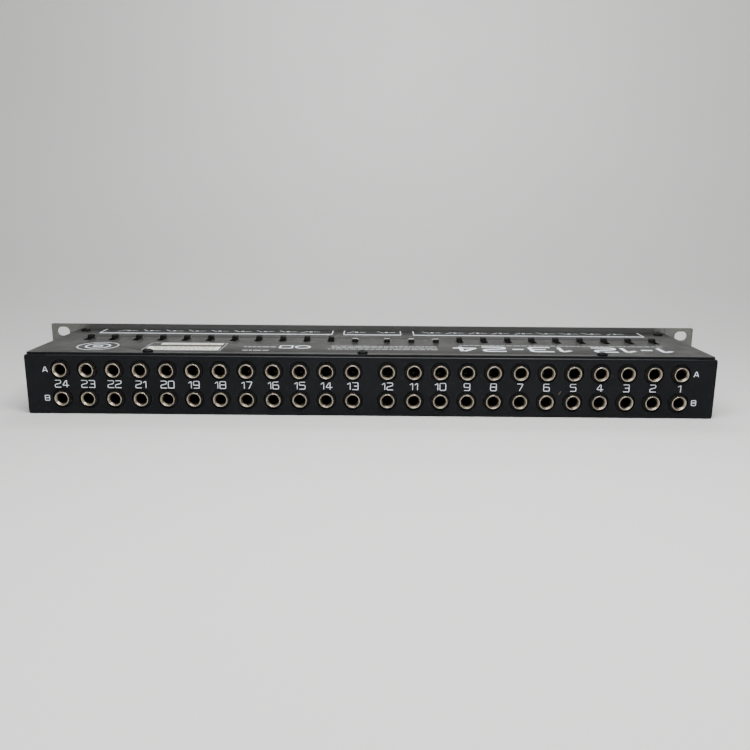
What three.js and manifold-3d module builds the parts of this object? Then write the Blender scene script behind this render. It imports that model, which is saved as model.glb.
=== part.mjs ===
// A 24-channel audio patch bay, one rack unit high, for 6.35 mm plugs.
//
// Millimetres. +Z is up, -Y is the front with the rack ears and +Y is the rear. The origin is the middle of
// the footprint, at the level that the bay stands on. Seen from the front, channel 1 is at the left (-X).
//
// A folded steel tray carries a flat steel cover and an aluminium front panel. Inside, one circuit board per
// half carries the jacks of row A on its top and those of row B beneath it. A narrow board under the cover
// holds one slide switch per channel, and each switch's lever stands up through a slot in the cover.

import * as THREE from 'three';
import { mergeVertices } from 'three/addons/utils/BufferGeometryUtils.js';
import Module from 'manifold-3d';

const wasm = await Module();
wasm.setup();

// ---------------------------------------------------------------- driving dimensions

const CLEARANCE = 0.3; // between two pieces that rest on each other

const panel = { width: 482.6, height: 43.7, thickness: 2.0, corner: 1.2, rebate: 0.3 };
const rackSlot = { spanX: 465.1, spanZ: 31.75, length: 9.4, width: 6.8 };

const sheet = 1.0; // steel thickness of the tray and the cover
const bend = 1.4; // outer radius of a fold
const tray = { width: 439.0, depth: 92.8, height: 38.9, frontWall: 423.0, frontHeight: 43.4 };
const flange = { rear: 10.0, side: 13.0 };
const coverInset = { side: 1.0, rear: 0.9 }; // from the tray's outer faces to the cover's edges
const wallWindow = { height: 14.0, margin: 8.0 };

const channels = 24;
const perHalf = channels / 2;
const pitch = 16.9;
const middlePitch = 22.05; // from channel 12 to channel 13
const rowZ = { a: 29.2, b: 10.5 };

const jack = {
  boreRadius: 3.25,
  bushingRadius: 4.7,
  bushingOut: 2.2, // how far a bushing stands out of the panel
  width: 15.0,
  farSide: 6.3, // from the axis to the side away from the board
  depth: 27.0,
  panelHoleRadius: 6.3,
};

const board = { thickness: 1.6, switchThickness: 1.1, end: 205.0, middleGap: 4.0, reach: 10.0 };
const post = { radius: 2.6, holeRadius: 1.6, holeDepth: 5.0 };
const header = { length: 10.0, width: 5.0 };

const lever = { width: 3.7, length: 4.2, proud: 2.1, travel: 8.0 };
const shoe = { width: 5.4, length: 7.6, height: 2.0 };
const coverSlot = { width: 4.4, length: 13.5 };
const restsAtRear = [10, 11, 12, 13]; // channels whose lever is stored at the rear end of its slot

const screwHole = 1.9;
const coverScrew = { headRadius: 3.3, headHeight: 2.5, shankRadius: 1.5, length: 3.3 };
const panelScrew = { headRadius: 3.3, headHeight: 1.9, shankRadius: 1.5, length: 6.0 };
const boardScrew = { headRadius: 2.6, headHeight: 1.6, shankRadius: 1.2, length: 5.0 };
const rearScrewX = [142.2, 4.9, -148.1];
const rearScrewInset = 5.4;
const frontScrew = { x: 211.5, inset: 10.0 };
const panelScrewX = 208.0;

// ---------------------------------------------------------------- places that follow from them

const depth = jack.bushingOut * 2 + panel.thickness + tray.depth;
const rearFace = depth / 2 - jack.bushingOut; // outer face of the tray's rear wall
const panelBack = rearFace - tray.depth;
const panelFront = panelBack - panel.thickness;
const frontWallFace = panelBack; // the wall stands in the panel's rebate
const coverBottom = tray.height + CLEARANCE;
const coverTop = coverBottom + sheet;
const coverFront = frontWallFace + sheet + CLEARANCE;

const slotCentreY = rearFace - 51.0;

const boardMiddle = (rowZ.a + rowZ.b) / 2;
const boardTop = boardMiddle + board.thickness / 2;
const boardBottom = boardMiddle - board.thickness / 2;
const switchBoardBottom = rowZ.a + jack.boreRadius; // leaves the plug's way clear below it
const switchBoardTop = switchBoardBottom + board.switchThickness;

const channelX = (n) =>
  n <= perHalf ? -middlePitch / 2 - (perHalf - n) * pitch : middlePitch / 2 + (n - perHalf - 1) * pitch;
const halves = [
  { name: '1_12', first: 1, side: -1 },
  { name: '13_24', first: perHalf + 1, side: 1 },
];
const channelsOf = (half) => Array.from({ length: perHalf }, (_, i) => half.first + i);
const betweenX = (n) => (channelX(n) + channelX(n + 1)) / 2;

// ---------------------------------------------------------------- materials

function finish(color, roughness, metalness) {
  return new THREE.MeshStandardMaterial({ color, roughness, metalness });
}

const blackSteel = finish(0x1c1d20, 0.5, 0.3);
const bareAluminium = finish(0x8f908c, 0.45, 0.9);
const blackPlastic = finish(0x0e0e10, 0.4, 0.0);
const boardGreen = finish(0x1f5a38, 0.5, 0.0);
const switchSteel = finish(0xb4b4ae, 0.35, 0.9);
const blackScrew = finish(0x121214, 0.35, 0.6);
const brassPost = finish(0xb9a46a, 0.35, 0.9);

// ---------------------------------------------------------------- shaping helpers

// Turns a closed three.js geometry into a solid that can be joined and cut.
function solid(geometry) {
  const bare = geometry.clone();
  bare.deleteAttribute('normal');
  bare.deleteAttribute('uv');
  const merged = mergeVertices(bare, 1e-4);
  return new wasm.Manifold(
    new wasm.Mesh({
      numProp: 3,
      vertProperties: new Float32Array(merged.getAttribute('position').array),
      triVerts: new Uint32Array(merged.index.array),
    }),
  );
}

function geometryOf(manifold) {
  const made = manifold.getMesh();
  return new THREE.BufferGeometry()
    .setAttribute('position', new THREE.BufferAttribute(made.vertProperties, 3))
    .setIndex(new THREE.BufferAttribute(made.triVerts, 1));
}

const joined = (parts) => parts.reduce((all, part) => all.add(part));

function block(x0, x1, y0, y1, z0, z1) {
  const geometry = new THREE.BoxGeometry(x1 - x0, y1 - y0, z1 - z0);
  return geometry.translate((x0 + x1) / 2, (y0 + y1) / 2, (z0 + z1) / 2);
}

// A round bar along Y or along Z, from one level to another.
function barY(radius, sides, x, z, y0, y1) {
  const geometry = new THREE.CylinderGeometry(radius, radius, y1 - y0, sides);
  return geometry.translate(x, (y0 + y1) / 2, z);
}

function barZ(radius, sides, x, y, z0, z1) {
  const geometry = new THREE.CylinderGeometry(radius, radius, z1 - z0, sides);
  return geometry.rotateX(Math.PI / 2).translate(x, y, (z0 + z1) / 2);
}

// Goes along points with each inner corner rounded, starting with a line to the first one.
function roundedLine(shape, points, radius) {
  points.forEach((point, i) => {
    if (i === 0 || i === points.length - 1) {
      shape.lineTo(point.x, point.y);
      return;
    }
    const before = points[i - 1].clone().sub(point).setLength(radius).add(point);
    const after = points[i + 1].clone().sub(point).setLength(radius).add(point);
    shape.lineTo(before.x, before.y);
    shape.quadraticCurveTo(point.x, point.y, after.x, after.y);
  });
}

// The outline of a sheet folded along the points of its outer face; the inner face lies to their left.
function foldedSheet(outer, inner) {
  const shape = new THREE.Shape();
  shape.moveTo(outer[0].x, outer[0].y);
  roundedLine(shape, outer, bend);
  roundedLine(shape, [...inner].reverse(), bend - sheet);
  shape.closePath();
  return shape;
}

const BEND_STEPS = 2;
const extruded = (shape, length, steps = BEND_STEPS) =>
  new THREE.ExtrudeGeometry(shape, { depth: length, bevelEnabled: false, curveSegments: steps });

// An outline in Y and Z, drawn out along X from x0 to x1.
function alongX(shape, x0, x1) {
  const toPart = new THREE.Matrix4().makeBasis(
    new THREE.Vector3(0, 1, 0),
    new THREE.Vector3(0, 0, 1),
    new THREE.Vector3(1, 0, 0),
  );
  return extruded(shape, x1 - x0).applyMatrix4(toPart).translate(x0, 0, 0);
}

// An outline in X and Z, drawn out along Y from y0 to y1.
function alongY(shape, y0, y1, steps) {
  return extruded(shape, y1 - y0, steps).rotateX(Math.PI / 2).translate(0, y1, 0);
}

const at = (u, v) => new THREE.Vector2(u, v);

const bay = new THREE.Group();

function place(name, geometry, material, position = new THREE.Vector3()) {
  const mesh = new THREE.Mesh(geometry, material);
  mesh.name = name;
  mesh.position.copy(position);
  bay.add(mesh);
  return mesh;
}

// ---------------------------------------------------------------- casing

const HOLE_SIDES = 8;

// The middle stretch folds up at the front behind the panel and at the rear; the ends fold up at the sides.
function chassisTray() {
  const front = frontWallFace;
  const rear = rearFace;
  const lip = rear - flange.rear;
  const inner = tray.height - sheet;
  const outerRear = [at(rear, 0), at(rear, tray.height), at(lip, tray.height)];
  const innerRear = [at(rear - sheet, sheet), at(rear - sheet, inner), at(lip, inner)];
  const middle = foldedSheet(
    [at(front, tray.frontHeight), at(front, 0), ...outerRear],
    [at(front + sheet, tray.frontHeight), at(front + sheet, sheet), ...innerRear],
  );
  const end = foldedSheet([at(front + sheet, 0), ...outerRear], [at(front + sheet, sheet), ...innerRear]);
  const half = tray.width / 2;
  const reach = half - flange.side;
  const wall = foldedSheet(
    [at(reach, 0), at(half, 0), at(half, tray.height), at(reach, tray.height)],
    [at(reach, sheet), at(half - sheet, sheet), at(half - sheet, inner), at(reach, inner)],
  );
  const sideWall = solid(alongY(wall, front + sheet, rear - 0.4));
  const cornerReach = half - 0.3;
  const body = joined([
    solid(alongX(middle, -tray.frontWall / 2, tray.frontWall / 2)),
    solid(alongX(end, -half + bend * 2, half - bend * 2)),
    solid(block(-cornerReach, cornerReach, rear - sheet, rear, bend, tray.height - bend)),
    sideWall,
    sideWall.mirror([1, 0, 0]),
  ]);
  const cuts = [];
  for (let n = 1; n <= channels; n += 1) {
    for (const z of [rowZ.a, rowZ.b]) {
      cuts.push(solid(barY(jack.panelHoleRadius, HOLE_SIDES, channelX(n), z, rear - 3, rear + 3)));
    }
  }
  // the front wall has one long window per row and half, behind the panel
  for (const { first } of halves) {
    const ends = [channelX(first) - wallWindow.margin, channelX(first + perHalf - 1) + wallWindow.margin];
    for (const z of [rowZ.a, rowZ.b]) {
      const levels = [z - wallWindow.height / 2, z + wallWindow.height / 2];
      cuts.push(solid(block(...ends, front - 3, front + 3, ...levels)));
    }
  }
  for (const { x, y } of coverScrewPlaces()) {
    cuts.push(solid(barZ(screwHole, 8, x, y, tray.height - 3, tray.height + 3)));
  }
  for (const side of [-1, 1]) {
    cuts.push(solid(barY(screwHole, 8, side * panelScrewX, panel.height / 2, front - 3, front + 3)));
  }
  return geometryOf(body.subtract(joined(cuts)));
}

function coverScrewPlaces() {
  const rear = rearScrewX.map((x, i) => ({ name: `rear_${i + 1}`, x, y: rearFace - rearScrewInset }));
  const front = [-1, 1].map((side) => ({
    name: side < 0 ? 'front_left' : 'front_right',
    x: side * frontScrew.x,
    y: panelBack + frontScrew.inset,
  }));
  return [...rear, ...front];
}

function topCover() {
  const half = tray.width / 2 - coverInset.side;
  const rear = rearFace - coverInset.rear;
  const [below, above] = [coverBottom - 1, coverTop + 1];
  const cuts = coverScrewPlaces().map(({ x, y }) => solid(barZ(screwHole, 8, x, y, below, above)));
  for (let n = 1; n <= channels; n += 1) {
    const x = channelX(n);
    const w = coverSlot.width / 2;
    const l = coverSlot.length / 2;
    cuts.push(solid(block(x - w, x + w, slotCentreY - l, slotCentreY + l, below, above)));
  }
  const plate = solid(block(-half, half, coverFront, rear, coverBottom, coverTop));
  return geometryOf(plate.subtract(joined(cuts)));
}

// An oblong slot with round ends, its length along the panel.
function rackSlotCut(x, z) {
  const r = rackSlot.width / 2;
  const reach = rackSlot.length / 2 - r;
  const shape = new THREE.Shape();
  shape.moveTo(x - reach, z - r);
  shape.lineTo(x + reach, z - r);
  shape.absarc(x + reach, z, r, -Math.PI / 2, Math.PI / 2);
  shape.lineTo(x - reach, z + r);
  shape.absarc(x - reach, z, r, Math.PI / 2, (Math.PI * 3) / 2);
  return solid(alongY(shape, panelFront - 1, panelBack + 1, 3));
}

// The panel is thinner behind the tray's front wall, so that the ears lie against the rack by themselves.
function frontPanel() {
  const half = panel.width / 2;
  const shape = new THREE.Shape();
  const corners = [at(half, 0), at(half, panel.height), at(-half, panel.height), at(-half, 0)];
  shape.moveTo(0, 0);
  roundedLine(shape, [at(0, 0), ...corners, at(0, 0)], panel.corner);
  const seat = tray.width / 2 + 0.5;
  const cuts = [solid(block(-seat, seat, panelBack - panel.rebate, panelBack + 1, -1, panel.height + 1))];
  const [ahead, behind] = [panelFront - 1, panelBack + 1];
  for (let n = 1; n <= channels; n += 1) {
    for (const z of [rowZ.a, rowZ.b]) {
      cuts.push(solid(barY(jack.panelHoleRadius, HOLE_SIDES, channelX(n), z, ahead, behind)));
    }
  }
  for (const side of [-1, 1]) {
    cuts.push(solid(barY(screwHole, 8, side * panelScrewX, panel.height / 2, ahead, behind)));
    for (const up of [-1, 1]) {
      const z = panel.height / 2 + (up * rackSlot.spanZ) / 2;
      cuts.push(rackSlotCut((side * rackSlot.spanX) / 2, z));
    }
  }
  return geometryOf(solid(alongY(shape, panelFront, panelBack)).subtract(joined(cuts)));
}

// ---------------------------------------------------------------- fasteners

function domeHead(radius, height, steps) {
  const points = [at(0, 0), at(radius, 0), at(radius, height * 0.35)];
  for (let i = 1; i <= steps; i += 1) {
    const angle = (Math.PI / 2) * (i / steps);
    points.push(at(radius * Math.cos(angle), height * (0.35 + 0.65 * Math.sin(angle))));
  }
  points[points.length - 1].x = 0;
  return new THREE.LatheGeometry(points, 8);
}

// A pan-head screw standing on z = 0, its shank pointing down.
function panScrew({ headRadius, headHeight, shankRadius, length }) {
  const head = solid(domeHead(headRadius, headHeight, 2).rotateX(Math.PI / 2));
  const shank = solid(barZ(shankRadius, 6, 0, 0, -length, 0.5));
  const recess = solid(barZ(headRadius / 3, 4, 0, 0, headHeight - 1.0, headHeight + 1));
  return geometryOf(head.add(shank).subtract(recess));
}

// ---------------------------------------------------------------- jacks

const JACK_SIDES = 8;
// a bore with flat sides is drawn around its circle, so that a round plug still passes
const boreCorner = jack.boreRadius / Math.cos(Math.PI / JACK_SIDES);
const rail = { depth: 4.0, height: 3.0 };

// Twelve jacks of one row, joined by the rail that holds them in line along the board. Row A stands on the
// board and row B hangs beneath it. toRear is 1 at the rear and -1 at the front.
function jackRow(half, row, toRear) {
  const z = rowZ[row];
  const standing = row === 'a';
  const [z0, z1] = standing
    ? [boardTop + CLEARANCE, z + jack.farSide]
    : [z - jack.farSide, boardBottom - CLEARANCE];
  const [railLow, railHigh] = standing ? [z0, z0 + rail.height] : [z1 - rail.height, z1];
  const span = (ya, yb) => [Math.min(ya, yb), Math.max(ya, yb)];
  const mouth = (depth / 2) * toRear;
  const wall = toRear > 0 ? rearFace - sheet : frontWallFace + sheet;
  const face = wall - CLEARANCE * toRear;
  const back = face - jack.depth * toRear;
  const numbers = channelsOf(half);
  const bodies = [];
  const bores = [];
  for (const n of numbers) {
    const x = channelX(n);
    bodies.push(solid(block(x - jack.width / 2, x + jack.width / 2, ...span(face, back), z0, z1)));
    bodies.push(solid(barY(jack.bushingRadius, JACK_SIDES, x, z, ...span(mouth, face - toRear))));
    bores.push(solid(barY(boreCorner, JACK_SIDES, x, z, -depth, depth)));
  }
  const [first, last] = [channelX(numbers[0]), channelX(numbers[perHalf - 1])];
  bodies.push(solid(block(first, last, ...span(back, back + rail.depth * toRear), railLow, railHigh)));
  return geometryOf(joined(bodies).subtract(joined(bores)));
}

// ---------------------------------------------------------------- boards and what holds them

const boardEnds = (half) =>
  half.side < 0 ? [-board.end, -board.middleGap / 2] : [board.middleGap / 2, board.end];

// the posts stand between two channels, halfway between the front and the rear jacks
const postPlaces = (half) => [2, 8].map((i) => ({ x: betweenX(half.first + i), y: 0 }));

function mainBoard(half) {
  const ends = boardEnds(half);
  const edges = [frontWallFace + sheet + 0.5, rearFace - sheet - 0.5];
  const plate = solid(block(...ends, ...edges, boardBottom, boardTop));
  const holes = postPlaces(half).map(({ x, y }) =>
    solid(barZ(post.holeRadius, 6, x, y, boardBottom - 1, boardTop + 1)),
  );
  return geometryOf(plate.subtract(joined(holes)));
}

function boardPost({ x, y }) {
  const top = boardBottom - CLEARANCE;
  const body = solid(barZ(post.radius, 6, x, y, sheet + CLEARANCE, top));
  return geometryOf(body.subtract(solid(barZ(post.holeRadius, 6, x, y, top - post.holeDepth, top + 1))));
}

function switchBoard(half) {
  const edges = [slotCentreY - board.reach, slotCentreY + board.reach];
  return block(...boardEnds(half), ...edges, switchBoardBottom, switchBoardTop);
}

// The pin header stands on the main board between two channels, and carries the switch board.
function switchHeader(half) {
  const x = betweenX(half.first + perHalf / 2 - 1);
  const [along, across] = [header.length / 2, header.width / 2];
  const [foot, head] = [boardTop + CLEARANCE, switchBoardBottom - CLEARANCE];
  return block(x - along, x + along, slotCentreY - across, slotCentreY + across, foot, head);
}

// ---------------------------------------------------------------- slide switches

const play = 0.3;
const frame = { floor: 0.6, wall: 0.8, lip: 1.0 };
const frameBottom = switchBoardTop + CLEARANCE;
const shoeBottom = frameBottom + frame.floor + play;
const shoeTop = shoeBottom + shoe.height;

// Twelve switch frames, each a shell with a mouth for its lever, on the strip that keeps them in line.
function switchFrames(half) {
  const top = shoeTop + frame.lip;
  const cavity = at(shoe.width / 2 + play, (shoe.length + lever.travel) / 2 + play);
  const mouth = at(lever.width / 2 + play, (lever.length + lever.travel) / 2 + play);
  const outside = at(cavity.x + frame.wall, cavity.y + frame.wall);
  const around = (x, size, z0, z1) =>
    solid(block(x - size.x, x + size.x, slotCentreY - size.y, slotCentreY + size.y, z0, z1));
  const numbers = channelsOf(half);
  const [first, last] = [channelX(numbers[0]), channelX(numbers[perHalf - 1])];
  const strip = block(first, last, slotCentreY - 2, slotCentreY + 2, frameBottom, frameBottom + frame.floor);
  const shells = [solid(strip)];
  const hollows = [];
  for (const n of numbers) {
    const x = channelX(n);
    shells.push(around(x, outside, frameBottom, top));
    hollows.push(around(x, cavity, shoeBottom - play, shoeTop + play));
    hollows.push(around(x, mouth, shoeTop, top + 1));
  }
  return geometryOf(joined(shells).subtract(joined(hollows)));
}

// A lever on its sliding shoe, drawn round the middle of its travel.
function switchLever() {
  const base = block(-shoe.width / 2, shoe.width / 2, -shoe.length / 2, shoe.length / 2, shoeBottom, shoeTop);
  const [x, y] = [lever.width / 2, lever.length / 2];
  const stem = block(-x, x, -y, y, shoeBottom + 0.5, coverTop + lever.proud);
  return geometryOf(solid(base).add(solid(stem)));
}

// ---------------------------------------------------------------- assembly

place('chassis_tray', chassisTray(), blackSteel);
place('top_cover', topCover(), blackSteel);
place('front_panel', frontPanel(), bareAluminium);

for (const half of halves) {
  for (const row of ['a', 'b']) {
    place(`rear_jacks_${row}_${half.name}`, jackRow(half, row, 1), blackPlastic);
    place(`front_jacks_${row}_${half.name}`, jackRow(half, row, -1), blackPlastic);
  }
  place(`main_board_${half.name}`, mainBoard(half), boardGreen);
  place(`switch_board_${half.name}`, switchBoard(half), boardGreen);
  place(`switch_header_${half.name}`, switchHeader(half), blackPlastic);
  place(`switch_frames_${half.name}`, switchFrames(half), switchSteel);
  postPlaces(half).forEach((spot, i) => {
    place(`board_post_${half.name}_${i + 1}`, boardPost(spot), brassPost);
    const head = new THREE.Vector3(spot.x, spot.y, boardTop + 0.1);
    place(`board_screw_${half.name}_${i + 1}`, panScrew(boardScrew), switchSteel, head);
  });
}

for (let n = 1; n <= channels; n += 1) {
  const rest = (restsAtRear.includes(n) ? lever.travel : -lever.travel) / 2;
  const number = String(n).padStart(2, '0');
  const position = new THREE.Vector3(channelX(n), slotCentreY + rest, 0);
  place(`switch_lever_${number}`, switchLever(), blackPlastic, position);
}

for (const { name, x, y } of coverScrewPlaces()) {
  place(`cover_screw_${name}`, panScrew(coverScrew), blackScrew, new THREE.Vector3(x, y, coverTop + 0.1));
}

for (const side of [-1, 1]) {
  const name = side < 0 ? 'left' : 'right';
  const turned = panScrew(panelScrew).rotateX(Math.PI / 2);
  const position = new THREE.Vector3(side * panelScrewX, panelFront - 0.1, panel.height / 2);
  place(`panel_screw_${name}`, turned, blackScrew, position);
}

export default bay;
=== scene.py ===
"""The looks of a 24-channel audio patch bay: its casing, jacks, switches, screws and print."""

import math
import random

import bmesh
import bpy
from mathutils import Matrix, Vector


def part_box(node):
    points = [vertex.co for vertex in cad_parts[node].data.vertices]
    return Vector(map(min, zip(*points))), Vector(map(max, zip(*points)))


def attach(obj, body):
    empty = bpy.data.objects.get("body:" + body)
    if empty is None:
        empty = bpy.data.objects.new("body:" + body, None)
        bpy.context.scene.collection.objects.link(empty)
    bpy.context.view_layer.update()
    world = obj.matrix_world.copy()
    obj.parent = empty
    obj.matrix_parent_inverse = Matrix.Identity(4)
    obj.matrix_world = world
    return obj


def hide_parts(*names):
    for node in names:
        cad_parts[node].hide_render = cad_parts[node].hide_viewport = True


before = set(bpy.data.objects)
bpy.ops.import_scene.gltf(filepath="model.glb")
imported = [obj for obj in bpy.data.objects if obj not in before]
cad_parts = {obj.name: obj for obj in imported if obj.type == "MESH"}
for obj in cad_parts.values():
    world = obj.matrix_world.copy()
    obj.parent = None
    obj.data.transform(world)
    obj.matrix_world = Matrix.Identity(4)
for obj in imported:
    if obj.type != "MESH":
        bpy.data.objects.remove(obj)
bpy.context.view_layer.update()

MM = 0.001
CASING = "casing"

# ------------------------------------------------------------------ places, from the frame

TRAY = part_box("chassis_tray")
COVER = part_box("top_cover")
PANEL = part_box("front_panel")
REAR_FACE = TRAY[1].y
WALL_FACE = TRAY[0].y
SHEET = COVER[1].z - COVER[0].z
WALL_REAR = WALL_FACE + SHEET
NOSE_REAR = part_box("rear_jacks_a_1_12")[1].y
NOSE_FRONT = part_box("front_jacks_a_1_12")[0].y
TRAY_TOP = COVER[0].z - 0.3 * MM
FAR_SIDE = 6.3 * MM  # from a jack's axis to the side away from its board
ROW_Z = {
    "a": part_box("rear_jacks_a_1_12")[1].z - FAR_SIDE,
    "b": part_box("rear_jacks_b_1_12")[0].z + FAR_SIDE,
}
BOARD_SIDE = ROW_Z["a"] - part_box("rear_jacks_a_1_12")[0].z
HALVES = {"1_12": range(1, 13), "13_24": range(13, 25)}
CHANNELS = range(1, 25)
# Levers whose tops carry a painted glint.
GLINT_LEVERS = range(10, 14)


def middle_of(node):
    low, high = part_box(node)
    return (low + high) / 2


def nodes_named(start):
    return [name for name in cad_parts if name.startswith(start)]


CHANNEL_X = {n: middle_of(f"switch_lever_{n:02d}").x for n in CHANNELS}
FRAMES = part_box("switch_frames_1_12")
SLOT_Y = (FRAMES[0].y + FRAMES[1].y) / 2
COVER_SCREWS = nodes_named("cover_screw")
PANEL_SCREWS = nodes_named("panel_screw")
BOARD_SCREWS = nodes_named("board_screw")

# ------------------------------------------------------------------ sizes of the fine shapes, in metres

BEND = 1.4 * MM  # outer radius of the tray's folds
TRAY_CORNER = 1.9 * MM
PLATE_CORNER = 1.2 * MM
FRONT_WALL_HALF = 211.5 * MM
REAR_FLANGE = 10.0 * MM
SIDE_FLANGE = 13.0 * MM
PANEL_HOLE = 6.3 * MM  # radius
SCREW_HOLE = 1.9 * MM  # radius
SLOT = (4.4 * MM, 13.5 * MM)  # width and length
RACK_SLOT = {"span_x": 465.1 * MM, "span_z": 31.75 * MM, "length": 9.4 * MM, "width": 6.8 * MM}
PANEL_REBATE = 0.3 * MM  # depth of the seat that the tray stands in
BORE = 3.2 * MM  # radius
BUSHING = 4.55 * MM  # outer radius
JACK_DEPTH = 27.0 * MM
JACK_HALF_WIDTH = 7.5 * MM
COVER_HEAD = 1.9 * MM  # heights of the screw heads
PANEL_HEAD = 1.9 * MM
BOARD_HEAD = 1.6 * MM
INK = 0.03 * MM  # thickness of the print

# ------------------------------------------------------------------ shaping helpers


def rotation(degrees, axis):
    return Matrix.Rotation(math.radians(degrees), 4, axis)


def scene_object(name, mesh):
    made = bpy.data.objects.new(name, mesh)
    bpy.context.scene.collection.objects.link(made)
    return made


def object_from(name, bm):
    bmesh.ops.recalc_face_normals(bm, faces=bm.faces)
    mesh = bpy.data.meshes.new(name)
    bm.to_mesh(mesh)
    bm.free()
    return scene_object(name, mesh)


def arc(centre, radius, start, end, steps):
    """Points of an arc, from angle start to angle end in degrees."""
    angles = [math.radians(start + (end - start) * i / steps) for i in range(steps + 1)]
    return [(centre[0] + radius * math.cos(a), centre[1] + radius * math.sin(a)) for a in angles]


def circle(centre, radius, steps=48):
    return arc(centre, radius, 0, 360, steps)[:-1]


def rounded_box(x0, x1, y0, y1, radius, steps=5):
    return (
        arc((x1 - radius, y0 + radius), radius, -90, 0, steps)
        + arc((x1 - radius, y1 - radius), radius, 0, 90, steps)
        + arc((x0 + radius, y1 - radius), radius, 90, 180, steps)
        + arc((x0 + radius, y0 + radius), radius, 180, 270, steps)
    )


def oblong(centre, length, width, steps=16):
    """A slot with round ends, its length along the first direction."""
    radius, reach = width / 2, (length - width) / 2
    right, left = (centre[0] + reach, centre[1]), (centre[0] - reach, centre[1])
    return arc(right, radius, -90, 90, steps) + arc(left, radius, 90, 270, steps)


def rounded_path(points, radius, steps=5, closed=False):
    """The points with each corner replaced by an arc-like curve."""
    points = [Vector(p) for p in points]
    count = len(points)
    made = []
    for i, corner in enumerate(points):
        if not closed and i in (0, count - 1):
            made.append(corner)
            continue
        before, after = points[i - 1] - corner, points[(i + 1) % count] - corner
        reach = min(radius, before.length / 2, after.length / 2)
        start, end = corner + before.normalized() * reach, corner + after.normalized() * reach
        for k in range(steps + 1):
            t = k / steps
            made.append(start * (1 - t) ** 2 + corner * 2 * t * (1 - t) + end * t**2)
    return made


def prism(name, outline, low, high, axis):
    """A closed solid: an outline drawn out along x, y or z, from low to high."""
    to_space = {
        "x": lambda u, v, w: (w, u, v),
        "y": lambda u, v, w: (u, w, v),
        "z": lambda u, v, w: (u, v, w),
    }[axis]
    bm = bmesh.new()
    ends = [[bm.verts.new(to_space(u, v, w)) for u, v in outline] for w in (low, high)]
    bm.faces.new(ends[0])
    bm.faces.new(ends[1])
    count = len(outline)
    for i in range(count):
        k = (i + 1) % count
        bm.faces.new((ends[0][i], ends[0][k], ends[1][k], ends[1][i]))
    return object_from(name, bm)


def lathe(name, profile, steps=48):
    """A ring round the Y axis: a closed profile of (radius, y) points."""
    bm = bmesh.new()
    rings = []
    for i in range(steps):
        angle = 2 * math.pi * i / steps
        turn = (math.cos(angle), math.sin(angle))
        rings.append([bm.verts.new((r * turn[0], y, r * turn[1])) for r, y in profile])
    count = len(profile)
    for i, ring in enumerate(rings):
        after = rings[(i + 1) % steps]
        for k in range(count):
            m = (k + 1) % count
            bm.faces.new((ring[k], ring[m], after[m], after[k]))
    return object_from(name, bm)


def turned_solid(name, profile, steps=48):
    """A solid round the Y axis whose profile starts and ends on it."""
    made = lathe(name, profile, steps)
    bm = bmesh.new()
    bm.from_mesh(made.data)
    bmesh.ops.remove_doubles(bm, verts=bm.verts, dist=1e-7)
    bmesh.ops.dissolve_degenerate(bm, edges=bm.edges, dist=1e-8)
    bmesh.ops.recalc_face_normals(bm, faces=bm.faces)
    bm.to_mesh(made.data)
    bm.free()
    return made


def settle(made):
    """Replaces an object's mesh by what its modifiers make of it."""
    bpy.context.view_layer.update()
    evaluated = made.evaluated_get(bpy.context.evaluated_depsgraph_get())
    mesh = bpy.data.meshes.new_from_object(evaluated)
    made.modifiers.clear()
    made.data = mesh
    return made


def carve(made, operation, tool):
    """Joins or cuts made with tool, which is used up."""
    modifier = made.modifiers.new("carve", "BOOLEAN")
    modifier.operation = operation
    modifier.solver = "EXACT"
    modifier.object = tool
    settle(made)
    bpy.data.objects.remove(tool)
    return made


def gathered(name, parts, places=(Matrix.Identity(4),)):
    """One object holding a copy of each part at each place. The parts are used up."""
    bm = bmesh.new()
    for place in places:
        for part in parts:
            copy = part.data.copy()
            copy.transform(place @ part.matrix_basis)
            if place.determinant() < 0:
                copy.flip_normals()
            bm.from_mesh(copy)
            bpy.data.meshes.remove(copy)
    for part in parts:
        bpy.data.objects.remove(part)
    mesh = bpy.data.meshes.new(name)
    bm.to_mesh(mesh)
    bm.free()
    return scene_object(name, mesh)


def soften(made, width, angle=35, segments=2):
    """Rounds the sharp edges a little, as stamping, moulding and paint do."""
    modifier = made.modifiers.new("soften", "BEVEL")
    modifier.width = width
    modifier.segments = segments
    modifier.limit_method = "ANGLE"
    modifier.angle_limit = math.radians(angle)
    modifier.harden_normals = False
    return settle(made)


def smooth(made, angle=32):
    made.data.shade_smooth()
    made.data.set_sharp_from_angle(angle=math.radians(angle))
    return made


def plate(name, outline, holes, thickness, edge):
    """A flat plate in XY round z = 0 with rounded edges, from outlines in metres."""
    curve = bpy.data.curves.new(name, "CURVE")
    curve.dimensions = "2D"
    curve.fill_mode = "BOTH"
    curve.extrude = (thickness / 2 - edge) / MM
    curve.bevel_depth = edge / MM
    curve.bevel_resolution = 1
    curve.offset = -edge / MM
    for loop in [outline, *holes]:
        spline = curve.splines.new("POLY")
        spline.points.add(len(loop) - 1)
        for point, (x, y) in zip(spline.points, loop):
            point.co = (x / MM, y / MM, 0, 1)
        spline.use_cyclic_u = True
    carrier = bpy.data.objects.new(name + "_curve", curve)
    bpy.context.scene.collection.objects.link(carrier)
    bpy.context.view_layer.update()
    evaluated = carrier.evaluated_get(bpy.context.evaluated_depsgraph_get())
    mesh = bpy.data.meshes.new_from_object(evaluated)
    bpy.data.objects.remove(carrier)
    bm = bmesh.new()
    bm.from_mesh(mesh)
    bmesh.ops.remove_doubles(bm, verts=bm.verts, dist=1e-4)
    bmesh.ops.scale(bm, vec=(MM, MM, MM), verts=bm.verts)
    return object_from(name, bm)


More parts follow.
